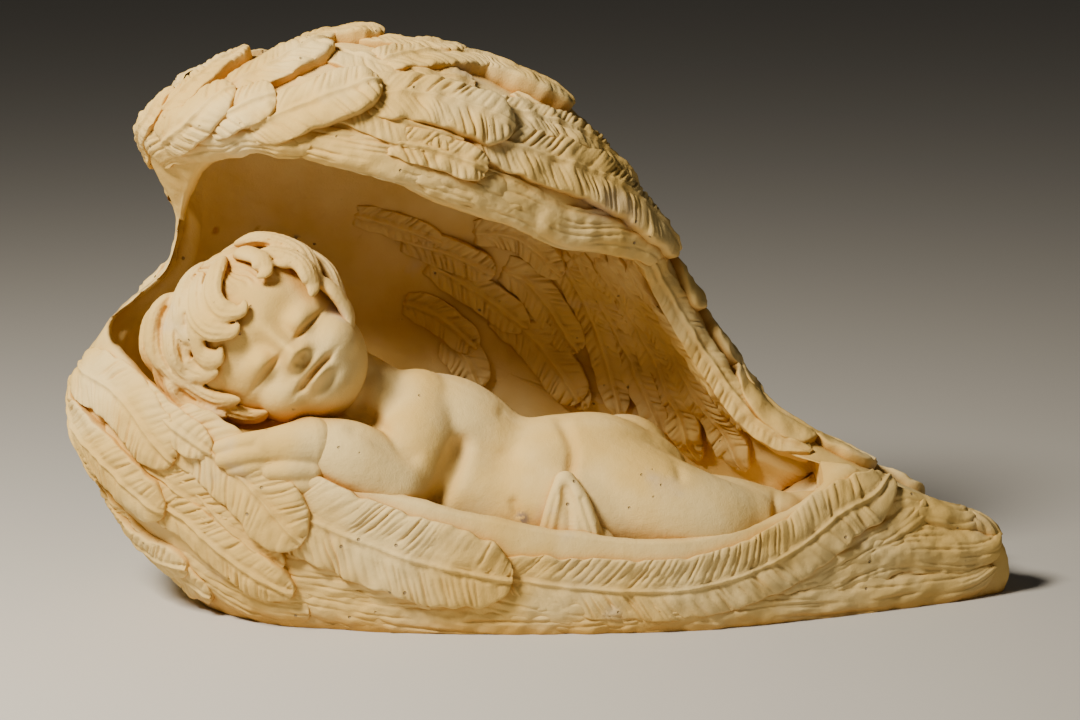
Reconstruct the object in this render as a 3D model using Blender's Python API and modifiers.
"""A plaster figurine of a sleeping cherub curled up inside a pair of folded wings.

The real object is cast in one piece, so it is one solid here: a hollow shell of two wings, the feathers carved
on it, and the child lying on its floor. Every point is given in design millimetres, which LENGTH scales.
The child's head is on the left, +Z is up, and the open side of the wings faces -Y.
"""

import math

import bmesh
import bpy
import numpy as np
from mathutils import Matrix, Vector
from mathutils.bvhtree import BVHTree

NAME = "sleeping_angel"

# Driving sizes, in metres
LENGTH = 0.300
SHELL_WALL = 0.009
RIM_WIDTH = 0.006
FLOOR_HEIGHT = 0.018
FLOOR_RISE_AT_FEET = 0.021
FLOOR_RISE_AT_HEAD = 0.030
# Where the cavity's floor starts to rise towards each end, and over what length
FEET_RISE_START, FEET_RISE_LENGTH = 0.068, 0.028
HEAD_RISE_START, HEAD_RISE_LENGTH = -0.060, 0.035
CAVITY_END = 0.090
FEATHER_THICKNESS = 0.0045
FEATHER_ROOT_SINK = 0.003
CARVING_CELL = 0.0014
CHILD_CELL = 0.0009
WING_TRIANGLES = 4850
BODY_TRIANGLES = 2000
HEAD_TRIANGLES = 3000
# Points round the shell, and rings from its rim to the middle of its back
SHELL_COLUMNS = 160
SHELL_ROWS = 32
# Rounds of smoothing after each part is fused
CHILD_SMOOTHING, HAIR_SMOOTHING, WING_SMOOTHING = 12, 1, 2

MM = LENGTH / 300
BELOW_GROUND = -4 * MM
# Brings the middle of the figurine's overall box over the origin
CENTRING = Vector((-1.2, -2.55, 0)) * MM

# Stations round the wings, from the wing tips on the right, under the child, up the left and over the hood.
# Each gives a point on the rim of the opening, then the point of the outline farthest out behind that rim.
STATIONS = np.array([
    [(100, -8, 43), (148, 2, 17)],
    [(93, -17, 40), (146, 1, -6)],
    [(74, -31, 31), (112, 2, -22)],
    [(42, -46, 27), (68, -2, -32)],
    [(5, -51, 31), (18, -3, -36)],
    [(-35, -52, 40), (-38, -4, -30)],
    [(-72, -48, 51), (-86, -3, -15)],
    [(-100, -41, 62), (-120, -2, 12)],
    [(-119, -31, 72), (-142, 0, 42)],
    [(-134, -12, 82), (-149, 4, 66)],
    [(-138, 3, 87), (-141, 12, 82)],
    [(-129, 9, 95), (-132, 20, 92)],
    [(-119, 12, 104), (-121, 23, 103)],
    [(-115, 10, 118), (-117, 21, 121)],
    [(-111, -3, 130), (-124, 10, 140)],
    [(-103, -20, 142), (-125, 6, 154)],
    [(-87, -32, 149), (-107, 6, 167)],
    [(-56, -37, 144), (-60, 8, 176)],
    [(-28, -31, 131), (-20, 11, 167)],
    [(5, -17, 118), (11, 13, 149)],
    [(31, -2, 109), (33, 12, 120)],
    [(37, 8, 98), (43, 15, 103)],
    [(50, 14, 75), (57, 22, 78)],
    [(69, 10, 50), (77, 17, 53)],
    [(90, 2, 42), (113, 8, 35)],
], float)
BACK_CENTRE = np.array((-10.0, 58.0, 62.0))

# Feathers: sheet of the shell, x and z of the root and of the tip as seen from the front, width, lift of the tip.
# Later ones lie under the tips of earlier ones.
FEATHERS = [
    ("front", (-120, 146), (-101, 158), 10, 1.0),
    ("front", (-115, 157), (-96, 167), 10, 1.0),
    ("front", (-102, 165), (-67, 174), 12, 1.2),
    ("front", (-104, 155), (-79, 161), 9, 1.0),
    ("front", (-76, 175), (-50, 178), 11, 1.6),
    ("front", (-85, 155), (-52, 164), 13, 1.2),
    ("front", (-54, 175), (-24, 171), 12, 1.4),
    ("front", (-51, 152), (-6, 141), 12, 0.6),
    ("front", (-50, 167), (-12, 153), 15, 1.3),
    ("front", (-23, 169), (10, 155), 14, 1.8),
    ("front", (-13, 157), (31, 128), 12, 1.2),
    ("front", (-22, 149), (48, 112), 16, 1.4),
    ("front", (-138, 80), (-113, 61), 15, 0.8),
    ("front", (-144, 69), (-109, 38), 14, 1.0),
    ("front", (-143, 56), (-127, 29), 9, 0.8),
    ("front", (-128, 50), (-75, 15), 11, 1.0),
    ("front", (-123, 61), (-71, 38), 19, 1.2),
    ("front", (-137, 37), (-96, 10), 10, 0.8),
    ("front", (-78, 44), (-7, 22), 19, 1.1),
    ("front", (-14, 24), (115, 34), 15, 1.0),
    ("front", (-94, 12), (148, 12), 13, 0.7),
    ("front", (24, 10), (145, 22), 12, 0.8),
    ("inside", (-47, 110), (-14, 97), 13, 0.8),
    ("inside", (-37, 100), (-1, 80), 13, 0.8),
    ("inside", (-34, 78), (-13, 56), 14, 0.8),
    ("inside", (-14, 102), (14, 71), 14, 0.8),
    ("inside", (-18, 86), (12, 54), 15, 0.8),
    ("inside", (6, 108), (27, 49), 12, 0.8),
    ("inside", (12, 107), (43, 43), 13, 0.8),
    ("inside", (17, 106), (64, 33), 14, 0.8),
    ("inside", (24, 104), (92, 38), 15, 0.8),
]

# Rows of feathers over the back of the wings, where the photograph does not reach: the z of the first and the
# last row at the left, the same at the right, the number of rows, and the number of feathers in a row.
BACK_LEFT, BACK_RIGHT = (158, 22), (128, 8)
BACK_ROWS, BACK_FEATHERS = 8, 5
BACK_WIDTH = 22

# The child's limbs, each a line of points along its middle with the radius there
LIMBS = {
    "trunk": [(-52, -12, 60, 16), (-44, -11, 56, 18), (-30, -10, 53, 20), (-17, -11, 45, 19), (-7, -12, 42, 18),
              (5, -13, 41, 20), (18, -11, 39.5, 21.5), (30, -8, 36, 19)],
    "front": [(-46, -20, 44, 15), (-30, -22, 40, 17), (-14, -22, 35, 17.5), (5, -24, 33, 18), (25, -22, 30, 18)],
    "under": [(-46, -8, 32, 16), (0, -8, 26, 16), (60, -6, 20, 12)],
    "neck": [(-70, -16, 76, 13), (-52, -14, 64, 14)],
    "pillow": [(-92, -24, 52, 12), (-70, -28, 54, 12), (-50, -24, 50, 12)],
    "upper_arm": [(-43, -15, 63, 13.5), (-43, -27, 55, 12), (-46, -35, 43, 12)],
    "forearm": [(-46, -37, 44, 12.5), (-59, -40, 53, 12), (-71, -41, 58, 8.5)],
    "lower_arm": [(-44, -28, 36, 10), (-58, -38, 38, 10), (-72, -42, 47, 7)],
    "thigh": [(16, -14, 38, 21.5), (35, -22, 32, 19), (52, -24, 28, 16), (64, -20, 26, 13)],
    "calf": [(44, -15, 28, 15), (60, -15, 27, 14.2), (75, -13, 25, 11.5)],
    "foot": [(74, -12, 25, 10), (88, -6, 27, 8), (96, -2, 28, 6)],
    "far_leg": [(20, 4, 30, 18), (45, 6, 26, 13), (72, 4, 24, 10)],
    "finger_1": [(-79, -44, 59, 4), (-90, -45, 58, 3.2), (-98, -43, 56, 2.6)],
    "finger_2": [(-79, -46, 56, 4), (-90, -47, 55, 3.2), (-97, -45, 53, 2.6)],
    "thumb": [(-72, -46, 50, 4.2), (-78, -48, 52, 3.6), (-84, -46, 53, 3)],
    "fold_1": [(7, -34, 45, 2.2), (5, -37, 36, 2.4), (2, -38, 26, 3)],
    "fold_2": [(8, -34, 46, 2.4), (13, -37, 37, 3), (17, -39, 27, 3.4)],
    "fold_3": [(6, -34, 44, 2), (10, -37, 34, 3), (9, -39, 26, 4)],
}
# Rounded masses, each a centre and three radii
MASSES = {
    "belly": ((2, -20, 40), (20, 15, 17)),
    "chest": ((-30, -18, 50), (15, 13, 16)),
    "buttock": ((27, 2, 40), (17, 15, 18)),
    "hand": ((-76, -42, 57), (8, 6.5, 6)),
    "lap_cloth": ((9, -32, 30), (11, 7, 8)),
    "under_the_knee": ((62, -26, 18), (16, 11, 10)),
}

# The head, which has its own axes: towards the crown, towards the child's left, and out of the face
HEAD_CENTRE = np.array((-80.0, -22.0, 85.0))
HEAD_AXES = np.array([(-0.752, 0.150, 0.642), (0.659, 0.209, 0.723), (0.025, -0.966, 0.256)])
HEAD_MASSES = {
    "skull": ((6, -1, -4), (29, 26, 26)),
    "jaw": ((-9, 0, 1), (19.5, 20.5, 19.5)),
    "left_cheek": ((-11, 9, 9), (10, 10, 10)),
    "right_cheek": ((-11, -9, 9), (10, 10, 10)),
    "hair_on_the_wing": ((20, -17, -4), (15, 15, 14)),
}
# The face in soft relief: up, across, how far up and across it reaches, and how far it stands out
FACE = [
    (3, 9.3, 4.5, 6, -1.8), (3, -9.3, 4.5, 6, -1.8), (0, 9.5, 3, 4.3, 2.6), (0, -9.5, 3, 4.3, 2.6),
    (-2.6, 9.5, 0.8, 4.2, -1.1), (-2.6, -9.5, 0.8, 4.2, -1.1), (8, 0, 5, 9, 0.8),
    (-1, 0, 5, 2.3, 2.6), (-6.5, 0, 2.7, 2.6, 4.6), (-7.6, 3, 1.7, 1.8, 2.2), (-7.6, -3, 1.7, 1.8, 2.2),
    (-10.2, 0, 1, 3.5, -1), (-12.9, 0, 1.4, 4, 1.8), (-16.6, 0, 1.5, 3.3, 2.2), (-14.8, 0, 0.7, 4.6, -1.8),
    (-19.6, 0, 1.2, 4, -0.9), (-24, 0, 4, 5, 2.2), (-12, 13, 5, 5, 1.2), (-12, -13, 5, 5, 1.2),
]
LOCK_RADIUS = 3.4
# Locks of hair: points along each, in the head's axes
LOCKS = [
    [(33, 9, 9), (29, 2, 17), (25, -2, 21), (17, 0, 24), (11, 3, 25)],
    [(35, 1, 6), (30, -6, 14), (23, -8, 20), (15, -4, 24), (11, 0, 25)],
    [(30, 12, 9), (22, 14, 18), (14, 16, 20), (9, 14, 22)],
    [(24, 16, 12), (17, 20, 15), (10, 23, 16), (3, 22, 17), (2, 18, 20)],
    [(3, 22, 14), (-4, 23, 12), (-11, 20, 12), (-16, 16, 12)],
    [(33, -5, 8), (31, -13, 8), (29, -20, 2), (27, -26, 0)],
    [(27, -7, 17), (21, -12, 19), (18, -17, 17), (13, -17, 19)],
    [(24, -17, 13), (20, -24, 8), (14, -26, 9), (8, -20, 18)],
    [(37, -12, 2), (33, -20, 2), (27, -28, 0), (19, -32, 0)],
    [(18, -28, 3), (11, -30, 5), (2, -27, 8), (-3, -22, 14)],
    [(9, -31, 0), (-1, -28, 2), (-8, -24, 6), (-12, -20, 10)],
]


def clear_scene():
    for old in list(bpy.data.objects):
        bpy.data.objects.remove(old)


def plaster():
    """Cream casting plaster, matt, with the colour of the photographed figurine."""
    material = bpy.data.materials.new("plaster")
    material.use_nodes = True
    shader = material.node_tree.nodes["Principled BSDF"]
    shader.inputs["Base Color"].default_value = (0.80, 0.66, 0.42, 1)
    shader.inputs["Roughness"].default_value = 0.85
    shader.inputs["Metallic"].default_value = 0.0
    return material


def collection(name):
    made = bpy.data.collections.new(name)
    bpy.context.scene.collection.children.link(made)
    return made


def closed_curve(points, count):
    """A closed Catmull-Rom curve through the points, read at count equal steps."""
    step = np.arange(count) * len(points) / count
    before = np.floor(step).astype(int)
    u = (step - before)[:, None]
    a, b, c, d = (points[(before + k) % len(points)] for k in (-1, 0, 1, 2))
    return 0.5 * (2 * b + (c - a) * u + (2 * a - 5 * b + 4 * c - d) * u**2 + (3 * b - a - 3 * c + d) * u**3)


def bow(start, end, steps, fullness, depth_first):
    """A quarter of a superellipse from start to end, one row for each step.

    It leaves start along the depth axis Y where depth_first is true, and square to it otherwise."""
    turn = np.linspace(0, math.pi / 2, steps)[:, None]
    rising = np.sin(turn) ** (2 / fullness)
    falling = 1 - np.cos(turn) ** (2 / fullness)
    depth, across = (rising, falling) if depth_first else (falling, rising)
    share = np.stack([across, depth, across], axis=-1)
    return start + (end - start) * share


def shell_rings(around, steps):
    """The shell as rings from the middle of the cavity's back, out to the rim and round behind the wings."""
    rim = closed_curve(STATIONS[:, 0], around)
    outline = closed_curve(STATIONS[:, 1], around)
    wall, lip, floor = SHELL_WALL / MM, RIM_WIDTH / MM, FLOOR_HEIGHT / MM
    low = np.clip((10 - outline[:, 2]) / 40, 0, 1)
    pointed = np.clip((outline[:, 0] - 60) / 90, 0, 1)
    fullness = 2.2 + 1.2 * low - 0.7 * pointed
    inward = BACK_CENTRE - outline
    inward[:, 1] = 0
    inward /= np.linalg.norm(inward, axis=1)[:, None]
    widest = outline + wall * inward
    lip = np.minimum(lip, 0.6 * (outline - rim)[:, 1:2])
    inner_rim = rim + lip * (0, 1, 0)
    lip_top = (rim + inner_rim) / 2 + 0.3 * lip * inward
    inner_centre = BACK_CENTRE - (0, wall, 0)
    inside = np.concatenate([
        bow(widest, inner_centre, steps, fullness, True)[::-1],
        bow(inner_rim, widest, steps // 2, fullness, False)[::-1][1:],
    ])
    inside[..., 0] = np.minimum(inside[..., 0], CAVITY_END / MM)
    to_feet = np.clip((inside[..., 0] * MM - FEET_RISE_START) / FEET_RISE_LENGTH, 0, 1)
    to_head = np.clip((HEAD_RISE_START - inside[..., 0] * MM) / HEAD_RISE_LENGTH, 0, 1)
    filled = floor + (FLOOR_RISE_AT_FEET * to_feet**1.5 + FLOOR_RISE_AT_HEAD * to_head) / MM
    inside[..., 2] = np.maximum(inside[..., 2], filled)
    outside = np.concatenate([
        bow(rim, outline, steps // 2, fullness, False),
        bow(outline, BACK_CENTRE, steps, fullness, True)[1:],
    ])
    outside[..., 2] = np.maximum(outside[..., 2], BELOW_GROUND / MM)
    return np.concatenate([inside, lip_top[None], outside])


def skin(name, rings, flip=False):
    """A closed skin over a stack of closed rings, with a flat face over each end."""
    count, around = rings.shape[:2]
    index = np.arange(count * around).reshape(count, around)
    after = np.roll(index, -1, axis=1)
    sides = np.stack([index[:-1], index[1:], after[1:], after[:-1]], axis=-1).reshape(-1, 4)
    ends = [index[0].tolist(), index[-1][::-1].tolist()]
    mesh = bpy.data.meshes.new(name)
    mesh.from_pydata((rings.reshape(-1, 3) * MM).tolist(), [], sides.tolist() + ends)
    solid = bmesh.new()
    solid.from_mesh(mesh)
    bmesh.ops.recalc_face_normals(solid, faces=solid.faces)
    solid.to_mesh(mesh)
    solid.free()
    made = bpy.data.objects.new(name, mesh)
    bpy.data.collections[NAME].objects.link(made)
    return made


class Sheet:
    """One side of the shell as a surface on which feathers can be laid."""

    def __init__(self, rings):
        self.points = rings
        count, around = rings.shape[:2]
        across = np.cross(np.roll(rings, -1, axis=1) - np.roll(rings, 1, axis=1), np.gradient(rings, axis=0))
        self.normals = (across / np.maximum(np.linalg.norm(across, axis=-1, keepdims=True), 1e-9)).reshape(-1, 3)
        index = np.arange(count * around).reshape(count, around)
        after = np.roll(index, -1, axis=1)
        self.faces = np.stack([index[:-1], index[1:], after[1:], after[:-1]], axis=-1).reshape(-1, 4)
        self.tree = BVHTree.FromPolygons(rings.reshape(-1, 3).tolist(), self.faces.tolist())

    def find(self, x, z, rows):
        """Row and column of the point, among the given rows, that lies nearest to x and z seen from the front."""
        first, last = rows
        part = self.points[first:last]
        away = (part[..., 0] - x) ** 2 + (part[..., 2] - z) ** 2
        row, column = np.unravel_index(away.argmin(), away.shape)
        return row + first, column

    def drop(self, points):
        """The nearest point of the surface to each given point, and its normal."""
        flat = self.points.reshape(-1, 3)
        places, normals = np.empty_like(points), np.empty_like(points)
        for place in np.ndindex(points.shape[:-1]):
            found, _, face, _ = self.tree.find_nearest(points[place])
            corners = self.faces[face]
            near = 1 / (np.linalg.norm(flat[corners] - found, axis=1) + 0.05)
            places[place] = found
            normals[place] = near @ self.normals[corners] / near.sum()
        return places, normals


def sheets():
    """The inside and the outside of the shell, and the rows of each that make up its front, inside and back."""
    rings = shell_rings(SHELL_COLUMNS, SHELL_ROWS)
    inner = SHELL_ROWS + SHELL_ROWS // 2 - 1
    inside, outside = Sheet(rings[:inner]), Sheet(rings[inner + 1:])
    faces = {
        "inside": (inside, (2, inner)),
        "front": (outside, (1, SHELL_ROWS // 2)),
        "back": (outside, (SHELL_ROWS // 2, len(outside.points) - 1)),
    }
    return rings, faces


def vane(share):
    """Half width of a feather at each share of its length, as a share of its widest: narrow root, blunt tip."""
    root = 0.55 + 0.45 * np.clip(share / 0.3, 0, 1) ** 0.7
    tip = np.clip((share - 0.72) / 0.28, 0, 1)
    return root * (1 - 0.97 * tip**2.6) ** (1 / 2.2)


# A feather's cross-section: how far out to each side, and how high, as shares of half width and thickness
SECTION_SIDE = np.array((-1, -1, -0.75, -0.3, 0, 0.3, 0.75, 1, 1, 0.4, -0.4))
SECTION_HEIGHT = np.array((0, 0.6, 0.9, 0.95, 1.08, 0.95, 0.9, 0.6, 0, 0, 0))
SECTION_SUNK = SECTION_HEIGHT == 0


def feather_rings(sheet, rows, root, tip, width, lift, steps=12):
    """Rings of a feather that lies on a sheet of the shell from root to tip, both seen from the front."""
    share = np.linspace(0, 1, steps)[:, None]
    row_0, column_0 = sheet.find(*root, rows)
    row_1, column_1 = sheet.find(*tip, rows)
    count, around = sheet.points.shape[:2]
    if rows[0] == 1:
        # On the front the feathers run along with the rim
        column_1 -= around * round((column_1 - column_0) / around)
        row = np.clip(np.round(row_0 + (row_1 - row_0) * share), 0, count - 1).astype(int)
        column = np.round(column_0 + (column_1 - column_0) * share).astype(int) % around
        middle = sheet.points[row, column][:, 0]
        for _ in range(3):
            middle[1:-1] = (middle[:-2] + 2 * middle[1:-1] + middle[2:]) / 4
    else:
        start, end = sheet.points[row_0, column_0], sheet.points[row_1, column_1]
        middle = start + (end - start) * share
    middle, normal = sheet.drop(middle)
    side = np.cross(normal, np.gradient(middle, axis=0))
    side /= np.linalg.norm(side, axis=1)[:, None]
    out = width / 2 * vane(share) * SECTION_SIDE
    places, normals = sheet.drop(middle[:, None] + out[..., None] * side[:, None])
    thickness = FEATHER_THICKNESS / MM * lift * (0.2 + 0.8 * share**0.8)
    height = np.where(SECTION_SUNK, -FEATHER_ROOT_SINK / MM, thickness * SECTION_HEIGHT)
    return places + height[..., None] * normals


def back_feathers():
    """Feathers in staggered rows over the back of the wings, in the same form as FEATHERS."""
    made = []
    for row in range(BACK_ROWS):
        share = row / (BACK_ROWS - 1)
        z_left = BACK_LEFT[0] + (BACK_LEFT[1] - BACK_LEFT[0]) * share
        z_right = BACK_RIGHT[0] + (BACK_RIGHT[1] - BACK_RIGHT[0]) * share
        x_left = -112 - 18 * share
        x_right = 20 + 118 * share
        for place in range(BACK_FEATHERS):
            start = (place + 0.5 * (row % 2)) / (BACK_FEATHERS + 0.5)
            end = min(start + 1.35 / BACK_FEATHERS, 1)
            ends = [(x_left + (x_right - x_left) * s, z_left + (z_right - z_left) * s**1.4) for s in (start, end)]
            made.append(("back", *ends, BACK_WIDTH, 0.9))
    return made


def ball(name, centre, radii, axes=np.eye(3)):
    """A sphere stretched to three radii along its own axes."""
    mesh = bpy.data.meshes.new(name)
    solid = bmesh.new()
    bmesh.ops.create_uvsphere(solid, u_segments=24, v_segments=16, radius=1)
    turn = Matrix(np.transpose(axes).tolist()).to_4x4()
    bmesh.ops.transform(solid, matrix=turn @ Matrix.Diagonal((*(r * MM for r in radii), 1)), verts=solid.verts)
    bmesh.ops.translate(solid, vec=Vector(centre) * MM, verts=solid.verts)
    bmesh.ops.recalc_face_normals(solid, faces=solid.faces)
    solid.to_mesh(mesh)
    solid.free()
    made = bpy.data.objects.new(name, mesh)
    bpy.data.collections[NAME].objects.link(made)
    return made


def limb(name, points):
    """A round limb: a curve through the points that is as thick as the last number of each, with round ends."""
    curve = bpy.data.curves.new(name, "CURVE")
    curve.dimensions = "3D"
    curve.bevel_depth = MM
    curve.bevel_resolution = 4
    curve.resolution_u = 5
    curve.use_fill_caps = True
    spline = curve.splines.new("BEZIER")
    spline.bezier_points.add(len(points) - 1)
    for knot, (*place, radius) in zip(spline.bezier_points, points):
        knot.co = Vector(place) * MM
        knot.radius = radius
        knot.handle_left_type = knot.handle_right_type = "AUTO"
    made = bpy.data.objects.new(name, curve)
    bpy.data.collections[NAME].objects.link(made)
    ends = [ball(f"{name}_end_{k}", points[k][:3], (points[k][3],) * 3) for k in (0, -1)]
    return [made, *ends]


def in_head(point):
    """A point given in the head's axes, in design millimetres of the whole figurine."""
    return tuple(HEAD_CENTRE + np.array(point, float) @ HEAD_AXES)


def carve_face(made):
    """Moves the skin in and out of the face, which gives lids, nose, lips and chin."""
    mesh = made.data
    flat = np.empty(3 * len(mesh.vertices), np.float32)
    mesh.vertices.foreach_get("co", flat)
    points = flat.reshape(-1, 3) / MM
    up, across, out = HEAD_AXES @ (points - HEAD_CENTRE).T
    relief = sum(h * np.exp(-(((up - u) / a) ** 2 + ((across - v) / b) ** 2) / 2) for u, v, a, b, h in FACE)
    near = np.clip((out - 4) / 8, 0, 1) * (np.linalg.norm(points - HEAD_CENTRE, axis=1) < 34)
    points += (relief * near)[:, None] * HEAD_AXES[2]
    mesh.vertices.foreach_set("co", (points * MM).astype(np.float32).ravel())
    mesh.update()


def child_body():
    """The child's body, limbs and hands as one soft skin."""
    pieces = []
    for name, points in LIMBS.items():
        pieces += limb(name, points)
    for name, (centre, radii) in MASSES.items():
        pieces.append(ball(name, centre, radii))
    return fused(joined("body", pieces), CHILD_CELL, CHILD_SMOOTHING)


def child_head():
    """The child's head with its face, and the locks of hair laid over it."""
    pieces = [ball(name, in_head(centre), radii, HEAD_AXES) for name, (centre, radii) in HEAD_MASSES.items()]
    head = fused(joined("head", pieces), CHILD_CELL, CHILD_SMOOTHING)
    carve_face(head)
    locks = []
    for number, points in enumerate(LOCKS):
        taper = np.interp(range(len(points)), (0, 1, len(points) - 1), (0.8, 1.05, 0.4)) * LOCK_RADIUS
        locks += limb(f"lock_{number}", [(*in_head(p), r) for p, r in zip(points, taper)])
    return fused(joined("head", [head, *locks]), CHILD_CELL, HAIR_SMOOTHING)


def joined(name, pieces):
    """One mesh object with the evaluated shapes of all the pieces, which are then removed."""
    graph = bpy.context.evaluated_depsgraph_get()
    solid = bmesh.new()
    for piece in pieces:
        mesh = bpy.data.meshes.new_from_object(piece.evaluated_get(graph))
        mesh.transform(piece.matrix_world)
        solid.from_mesh(mesh)
        bpy.data.meshes.remove(mesh)
    bmesh.ops.remove_doubles(solid, verts=solid.verts, dist=1e-7)
    mesh = bpy.data.meshes.new(name)
    solid.to_mesh(mesh)
    solid.free()
    for piece in pieces:
        bpy.data.objects.remove(piece)
    made = bpy.data.objects.new(name, mesh)
    bpy.data.collections[NAME].objects.link(made)
    return made


def keep_largest(mesh):
    """Removes the crumbs and bubbles that fusing leaves beside the one large skin."""
    solid = bmesh.new()
    solid.from_mesh(mesh)
    left = set(solid.verts)
    skins = []
    while left:
        reached = [left.pop()]
        for vert in reached:
            for edge in vert.link_edges:
                other = edge.other_vert(vert)
                if other in left:
                    left.remove(other)
                    reached.append(other)
        skins.append(reached)
    skins.sort(key=len)
    for crumb in skins[:-1]:
        bmesh.ops.delete(solid, geom=crumb, context="VERTS")
    solid.to_mesh(mesh)
    solid.free()


def fused(made, cell, smoothing):
    """Fuses an object's overlapping shapes into one skin, with cells of the given size, and softens it."""
    remesh = made.modifiers.new("fuse", "REMESH")
    remesh.mode = "VOXEL"
    remesh.voxel_size = cell
    soften = made.modifiers.new("soften", "SMOOTH")
    soften.factor = 0.5
    soften.iterations = smoothing
    graph = bpy.context.evaluated_depsgraph_get()
    mesh = bpy.data.meshes.new_from_object(made.evaluated_get(graph))
    made.modifiers.clear()
    keep_largest(mesh)
    made.data = mesh
    return made


def box_below_ground():
    """A box whose top is the ground, which cuts the flat underside."""
    mesh = bpy.data.meshes.new("ground")
    solid = bmesh.new()
    bmesh.ops.create_cube(solid, size=1)
    bmesh.ops.scale(solid, vec=(2 * LENGTH, 2 * LENGTH, LENGTH), verts=solid.verts)
    bmesh.ops.translate(solid, vec=(0, 0, -LENGTH / 2), verts=solid.verts)
    solid.to_mesh(mesh)
    solid.free()
    return bpy.data.objects.new("ground", mesh)


def thinned(made, triangles):
    """Keeps about the given number of triangles of an object."""
    thin = made.modifiers.new("thin", "DECIMATE")
    thin.ratio = triangles / (2 * len(made.data.polygons))


def main():
    clear_scene()
    collection(NAME)
    cutters = collection("cutters")
    body, head = child_body(), child_head()
    thinned(body, BODY_TRIANGLES)
    thinned(head, HEAD_TRIANGLES)
    rings, faces = sheets()
    wings = [skin("shell", rings[1:-1])]
    for number, (face, *feather) in enumerate(FEATHERS + back_feathers()):
        wings.append(skin(f"feather_{number}", feather_rings(*faces[face], *feather)))
    angel = fused(joined(NAME, wings), CARVING_CELL, WING_SMOOTHING)
    angel.data.materials.append(plaster())
    thinned(angel, WING_TRIANGLES)

    for made in (angel, body, head):
        made.data.transform(Matrix.Translation(CENTRING))
    for tool, operation in ((body, "UNION"), (head, "UNION"), (box_below_ground(), "DIFFERENCE")):
        for home in list(tool.users_collection):
            home.objects.unlink(tool)
        tool.hide_render = True
        tool.display_type = "WIRE"
        cutters.objects.link(tool)
        cut = angel.modifiers.new(tool.name, "BOOLEAN")
        cut.operation = operation
        cut.solver = "EXACT"
        cut.object = tool


main()
